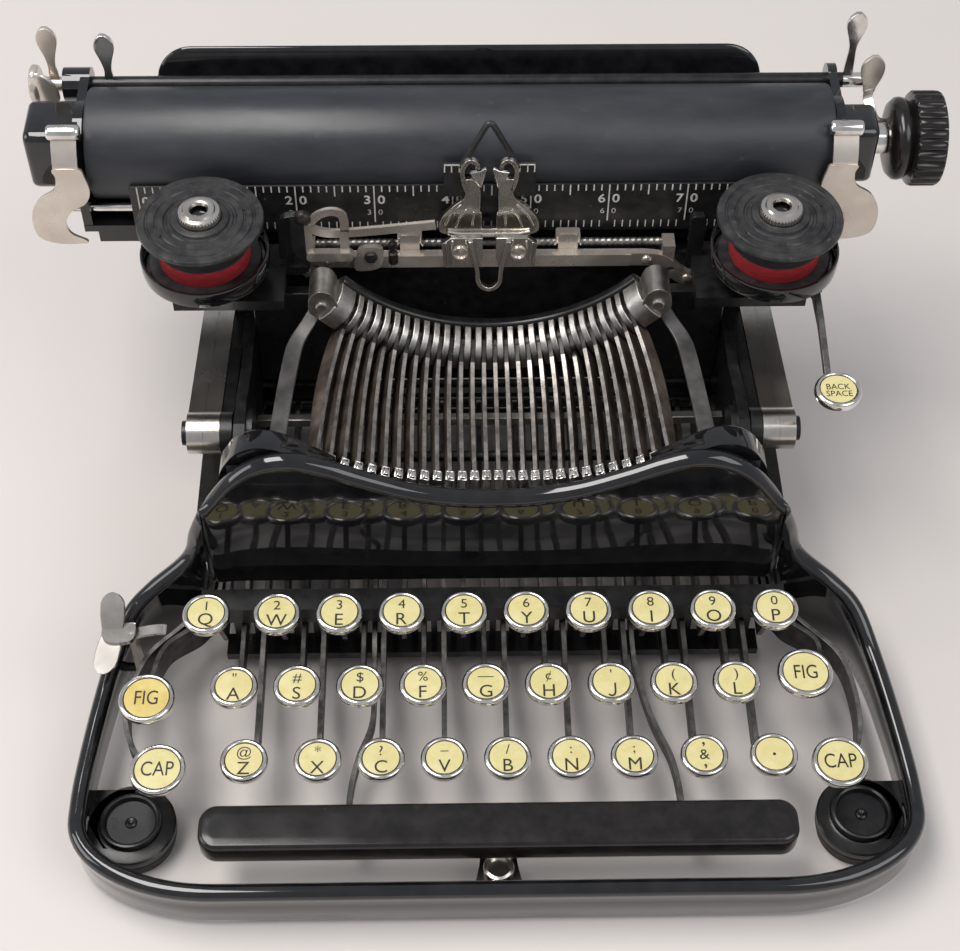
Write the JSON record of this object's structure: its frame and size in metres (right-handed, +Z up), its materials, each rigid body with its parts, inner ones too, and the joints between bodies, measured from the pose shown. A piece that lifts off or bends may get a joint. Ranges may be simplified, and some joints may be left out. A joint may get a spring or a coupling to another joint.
{
  "type": "folding typewriter",
  "caption": "Portable typewriter with rows of round keys, a fan of typebars, ribbon spools and a sliding platen carriage that folds forward over the keyboard.",
  "frame": {"origin": "middle of the machine's box at table level", "axes": "+X to the typist's right, along the platen; +Y to the back; +Z up"},
  "size_m": [0.298, 0.2544, 0.148],
  "materials": {
    "black_enamel": "gloss black stove enamel",
    "foot_rubber": "matt black rubber",
    "dull_nickel": "dull nickel plate",
    "type_steel": "brown, lightly oxidised steel",
    "key_top": "glossy cream key top in a nickel ring",
    "black_plastic": "polished black hard rubber",
    "nickel": "bright nickel plate, slightly worn",
    "spool_black": "satin black",
    "scale_black": "satin black with white marks",
    "lever_steel": "blued steel with bright edges",
    "platen_rubber": "satin dark grey rubber"
  },
  "bodies": {
    "base": {"base_frame": "black_enamel", "front_shield": "black_enamel", "rubber_feet": "foot_rubber", "mechanism_frame": "black_enamel", "lever_comb": "black_enamel", "segment": "dull_nickel", "typebars": "type_steel"},
    "key_q": {"key_q": "key_top"},
    "key_a": {"key_a": "key_top"},
    "key_z": {"key_z": "key_top"},
    "key_w": {"key_w": "key_top"},
    "key_s": {"key_s": "key_top"},
    "key_x": {"key_x": "key_top"},
    "key_e": {"key_e": "key_top"},
    "key_d": {"key_d": "key_top"},
    "key_c": {"key_c": "key_top"},
    "key_r": {"key_r": "key_top"},
    "key_f": {"key_f": "key_top"},
    "key_v": {"key_v": "key_top"},
    "key_t": {"key_t": "key_top"},
    "key_g": {"key_g": "key_top"},
    "key_b": {"key_b": "key_top"},
    "key_y": {"key_y": "key_top"},
    "key_h": {"key_h": "key_top"},
    "key_n": {"key_n": "key_top"},
    "key_u": {"key_u": "key_top"},
    "key_j": {"key_j": "key_top"},
    "key_m": {"key_m": "key_top"},
    "key_i": {"key_i": "key_top"},
    "key_k": {"key_k": "key_top"},
    "key_comma": {"key_comma": "key_top"},
    "key_o": {"key_o": "key_top"},
    "key_l": {"key_l": "key_top"},
    "key_period": {"key_period": "key_top"},
    "key_p": {"key_p": "key_top"},
    "typebar_g": {"typebar_g": "type_steel"},
    "space_bar": {"space_bar": "black_plastic"},
    "shift_cap": {"shift_cap": "key_top"},
    "shift_fig": {"shift_fig": "key_top"},
    "shift_lock": {"shift_lock": "nickel"},
    "fold": {"fold_arms": "nickel", "carriage_bed": "black_enamel", "front_rail": "nickel", "ribbon_cups": "black_enamel", "aligning_scale": "scale_black"},
    "spool_left": {"spool_left": "spool_black"},
    "spool_right": {"spool_right": "spool_black"},
    "ribbon_vibrator": {"ribbon_vibrator": "nickel"},
    "backspace_key": {"backspace_key": "key_top"},
    "margin_stop_left": {"margin_stop_left": "nickel"},
    "margin_stop_right": {"margin_stop_right": "nickel"},
    "lift_rails": {"carriage_rail": "lever_steel"},
    "carriage": {"carriage_frame": "black_enamel", "paper_table": "black_enamel", "paper_scale": "scale_black"},
    "platen": {"platen": "platen_rubber", "platen_knob": "black_plastic"},
    "paper_fingers": {"paper_fingers": "nickel"},
    "line_space_lever": {"line_space_lever": "nickel"},
    "paper_release": {"paper_release": "nickel"}
  },
  "joints": [
    {"name": "key_q_press", "type": "hinge", "parent": "base", "child": "key_q", "pos_m": [-0.08472, 0.057, 0.02], "axis": [1, 0, 0], "range_deg": [0, 5], "stiffness_Nm_per_rad": 0.3, "springref_deg": -11.46},
    {"name": "key_a_press", "type": "hinge", "parent": "base", "child": "key_a", "pos_m": [-0.07838, 0.057, 0.02], "axis": [1, 0, 0], "range_deg": [0, 4.2], "stiffness_Nm_per_rad": 0.3, "springref_deg": -11.46},
    {"name": "key_z_press", "type": "hinge", "parent": "base", "child": "key_z", "pos_m": [-0.07203, 0.057, 0.02], "axis": [1, 0, 0], "range_deg": [0, 3.6], "stiffness_Nm_per_rad": 0.3, "springref_deg": -11.46},
    {"name": "key_w_press", "type": "hinge", "parent": "base", "child": "key_w", "pos_m": [-0.06567, 0.057, 0.02], "axis": [1, 0, 0], "range_deg": [0, 5], "stiffness_Nm_per_rad": 0.3, "springref_deg": -11.46},
    {"name": "key_s_press", "type": "hinge", "parent": "base", "child": "key_s", "pos_m": [-0.05933, 0.057, 0.02], "axis": [1, 0, 0], "range_deg": [0, 4.2], "stiffness_Nm_per_rad": 0.3, "springref_deg": -11.46},
    {"name": "key_x_press", "type": "hinge", "parent": "base", "child": "key_x", "pos_m": [-0.05298, 0.057, 0.02], "axis": [1, 0, 0], "range_deg": [0, 3.6], "stiffness_Nm_per_rad": 0.3, "springref_deg": -11.46},
    {"name": "key_e_press", "type": "hinge", "parent": "base", "child": "key_e", "pos_m": [-0.04662, 0.057, 0.02], "axis": [1, 0, 0], "range_deg": [0, 5], "stiffness_Nm_per_rad": 0.3, "springref_deg": -11.46},
    {"name": "key_d_press", "type": "hinge", "parent": "base", "child": "key_d", "pos_m": [-0.04027, 0.057, 0.02], "axis": [1, 0, 0], "range_deg": [0, 4.2], "stiffness_Nm_per_rad": 0.3, "springref_deg": -11.46},
    {"name": "key_c_press", "type": "hinge", "parent": "base", "child": "key_c", "pos_m": [-0.03392, 0.057, 0.02], "axis": [1, 0, 0], "range_deg": [0, 3.6], "stiffness_Nm_per_rad": 0.3, "springref_deg": -11.46},
    {"name": "key_r_press", "type": "hinge", "parent": "base", "child": "key_r", "pos_m": [-0.02757, 0.057, 0.02], "axis": [1, 0, 0], "range_deg": [0, 5], "stiffness_Nm_per_rad": 0.3, "springref_deg": -11.46},
    {"name": "key_f_press", "type": "hinge", "parent": "base", "child": "key_f", "pos_m": [-0.02123, 0.057, 0.02], "axis": [1, 0, 0], "range_deg": [0, 4.2], "stiffness_Nm_per_rad": 0.3, "springref_deg": -11.46},
    {"name": "key_v_press", "type": "hinge", "parent": "base", "child": "key_v", "pos_m": [-0.01487, 0.057, 0.02], "axis": [1, 0, 0], "range_deg": [0, 3.6], "stiffness_Nm_per_rad": 0.3, "springref_deg": -11.46},
    {"name": "key_t_press", "type": "hinge", "parent": "base", "child": "key_t", "pos_m": [-0.00852, 0.057, 0.02], "axis": [1, 0, 0], "range_deg": [0, 5], "stiffness_Nm_per_rad": 0.3, "springref_deg": -11.46},
    {"name": "key_g_press", "type": "hinge", "parent": "base", "child": "key_g", "pos_m": [-0.00217, 0.057, 0.02], "axis": [1, 0, 0], "range_deg": [0, 4.2], "stiffness_Nm_per_rad": 0.02, "springref_deg": -11.46},
    {"name": "key_b_press", "type": "hinge", "parent": "base", "child": "key_b", "pos_m": [0.00417, 0.057, 0.02], "axis": [1, 0, 0], "range_deg": [0, 3.6], "stiffness_Nm_per_rad": 0.3, "springref_deg": -11.46},
    {"name": "key_y_press", "type": "hinge", "parent": "base", "child": "key_y", "pos_m": [0.01052, 0.057, 0.02], "axis": [1, 0, 0], "range_deg": [0, 5], "stiffness_Nm_per_rad": 0.3, "springref_deg": -11.46},
    {"name": "key_h_press", "type": "hinge", "parent": "base", "child": "key_h", "pos_m": [0.01688, 0.057, 0.02], "axis": [1, 0, 0], "range_deg": [0, 4.2], "stiffness_Nm_per_rad": 0.3, "springref_deg": -11.46},
    {"name": "key_n_press", "type": "hinge", "parent": "base", "child": "key_n", "pos_m": [0.02322, 0.057, 0.02], "axis": [1, 0, 0], "range_deg": [0, 3.6], "stiffness_Nm_per_rad": 0.3, "springref_deg": -11.46},
    {"name": "key_u_press", "type": "hinge", "parent": "base", "child": "key_u", "pos_m": [0.02958, 0.057, 0.02], "axis": [1, 0, 0], "range_deg": [0, 5], "stiffness_Nm_per_rad": 0.3, "springref_deg": -11.46},
    {"name": "key_j_press", "type": "hinge", "parent": "base", "child": "key_j", "pos_m": [0.03592, 0.057, 0.02], "axis": [1, 0, 0], "range_deg": [0, 4.2], "stiffness_Nm_per_rad": 0.3, "springref_deg": -11.46},
    {"name": "key_m_press", "type": "hinge", "parent": "base", "child": "key_m", "pos_m": [0.04228, 0.057, 0.02], "axis": [1, 0, 0], "range_deg": [0, 3.6], "stiffness_Nm_per_rad": 0.3, "springref_deg": -11.46},
    {"name": "key_i_press", "type": "hinge", "parent": "base", "child": "key_i", "pos_m": [0.04863, 0.057, 0.02], "axis": [1, 0, 0], "range_deg": [0, 5], "stiffness_Nm_per_rad": 0.3, "springref_deg": -11.46},
    {"name": "key_k_press", "type": "hinge", "parent": "base", "child": "key_k", "pos_m": [0.05498, 0.057, 0.02], "axis": [1, 0, 0], "range_deg": [0, 4.2], "stiffness_Nm_per_rad": 0.3, "springref_deg": -11.46},
    {"name": "key_comma_press", "type": "hinge", "parent": "base", "child": "key_comma", "pos_m": [0.06132, 0.057, 0.02], "axis": [1, 0, 0], "range_deg": [0, 3.6], "stiffness_Nm_per_rad": 0.3, "springref_deg": -11.46},
    {"name": "key_o_press", "type": "hinge", "parent": "base", "child": "key_o", "pos_m": [0.06767, 0.057, 0.02], "axis": [1, 0, 0], "range_deg": [0, 5], "stiffness_Nm_per_rad": 0.3, "springref_deg": -11.46},
    {"name": "key_l_press", "type": "hinge", "parent": "base", "child": "key_l", "pos_m": [0.07402, 0.057, 0.02], "axis": [1, 0, 0], "range_deg": [0, 4.2], "stiffness_Nm_per_rad": 0.3, "springref_deg": -11.46},
    {"name": "key_period_press", "type": "hinge", "parent": "base", "child": "key_period", "pos_m": [0.08038, 0.057, 0.02], "axis": [1, 0, 0], "range_deg": [0, 3.6], "stiffness_Nm_per_rad": 0.3, "springref_deg": -11.46},
    {"name": "key_p_press", "type": "hinge", "parent": "base", "child": "key_p", "pos_m": [0.08672, 0.057, 0.02], "axis": [1, 0, 0], "range_deg": [0, 5], "stiffness_Nm_per_rad": 0.3, "springref_deg": -11.46},
    {"name": "typebar_g_swing", "type": "hinge", "parent": "base", "child": "typebar_g", "pos_m": [-0.00087, 0.052, 0.06103], "axis": [-0.9996, 0, 0.0271], "range_deg": [0, 115]},
    {"name": "space_bar_press", "type": "hinge", "parent": "base", "child": "space_bar", "pos_m": [0.004, 0.057, 0.02], "axis": [1, 0, 0], "range_deg": [0, 2.2], "stiffness_Nm_per_rad": 0.8, "springref_deg": -11.46},
    {"name": "shift_cap_press", "type": "hinge", "parent": "base", "child": "shift_cap", "pos_m": [0.001, 0.057, 0.02], "axis": [1, 0, 0], "range_deg": [0, 3.2]},
    {"name": "shift_fig_press", "type": "hinge", "parent": "base", "child": "shift_fig", "pos_m": [0.001, 0.057, 0.02], "axis": [1, 0, 0], "range_deg": [0, 3.6], "stiffness_Nm_per_rad": 0.8, "springref_deg": -11.46},
    {"name": "shift_lock_turn", "type": "hinge", "parent": "base", "child": "shift_lock", "pos_m": [-0.11189, -0.044, 0.015], "axis": [1, 0, 0], "range_deg": [-10, 15]},
    {"name": "fold", "type": "hinge", "parent": "base", "child": "fold", "pos_m": [0.001, 0.014, 0.062], "axis": [1, 0, 0], "range_deg": [0, 120]},
    {"name": "spool_left_turn", "type": "hinge", "parent": "fold", "child": "spool_left", "pos_m": [-0.0894, 0.0545, 0.11], "axis": [0, 0, 1], "continuous": true},
    {"name": "spool_right_turn", "type": "hinge", "parent": "fold", "child": "spool_right", "pos_m": [0.0914, 0.0545, 0.11], "axis": [0, 0, 1], "continuous": true},
    {"name": "ribbon_vibrator_lift", "type": "slide", "parent": "fold", "child": "ribbon_vibrator", "axis": [0, 0, 1], "range_m": [0, 0.006]},
    {"name": "backspace_press", "type": "hinge", "parent": "fold", "child": "backspace_key", "pos_m": [0.1048, 0.0475, 0.0925], "axis": [1, 0, 0], "range_deg": [0, 5], "stiffness_Nm_per_rad": 0.1, "springref_deg": -17.19},
    {"name": "margin_stop_left_slide", "type": "slide", "parent": "fold", "child": "margin_stop_left", "axis": [1, 0, 0], "range_m": [-0.026, 0.007]},
    {"name": "margin_stop_right_slide", "type": "slide", "parent": "fold", "child": "margin_stop_right", "axis": [1, 0, 0], "range_m": [-0.007, 0.026]},
    {"name": "carriage_lift", "type": "slide", "parent": "fold", "child": "lift_rails", "axis": [0, 0, 1], "range_m": [0, 0.0065]},
    {"name": "carriage_slide", "type": "slide", "parent": "lift_rails", "child": "carriage", "axis": [1, 0, 0], "range_m": [-0.09, 0.113]},
    {"name": "platen_turn", "type": "hinge", "parent": "carriage", "child": "platen", "pos_m": [0.001, 0.096, 0.112], "axis": [1, 0, 0], "continuous": true},
    {"name": "paper_fingers_open", "type": "hinge", "parent": "carriage", "child": "paper_fingers", "pos_m": [0.001, 0.0808, 0.098], "axis": [1, 0, 0], "range_deg": [0, 8], "stiffness_Nm_per_rad": 0.1, "springref_deg": -17.19},
    {"name": "line_space_pull", "type": "hinge", "parent": "carriage", "child": "line_space_lever", "pos_m": [-0.139, 0.115, 0.121], "axis": [1, 0, 0], "range_deg": [0, 30], "stiffness_Nm_per_rad": 0.03, "springref_deg": -28.65},
    {"name": "paper_release_turn", "type": "hinge", "parent": "carriage", "child": "paper_release", "pos_m": [0.001, 0.115, 0.121], "axis": [1, 0, 0], "range_deg": [0, 20]}
  ],
  "couplings": [
    {"joint": "key_g_press", "follows": "typebar_g_swing", "ratio": 0.0365},
    {"joint": "ribbon_vibrator_lift", "follows": "typebar_g_swing", "m_per_rad": 0.00298},
    {"joint": "shift_cap_press", "follows": "carriage_lift", "rad_per_m": 8.55}
  ]
}
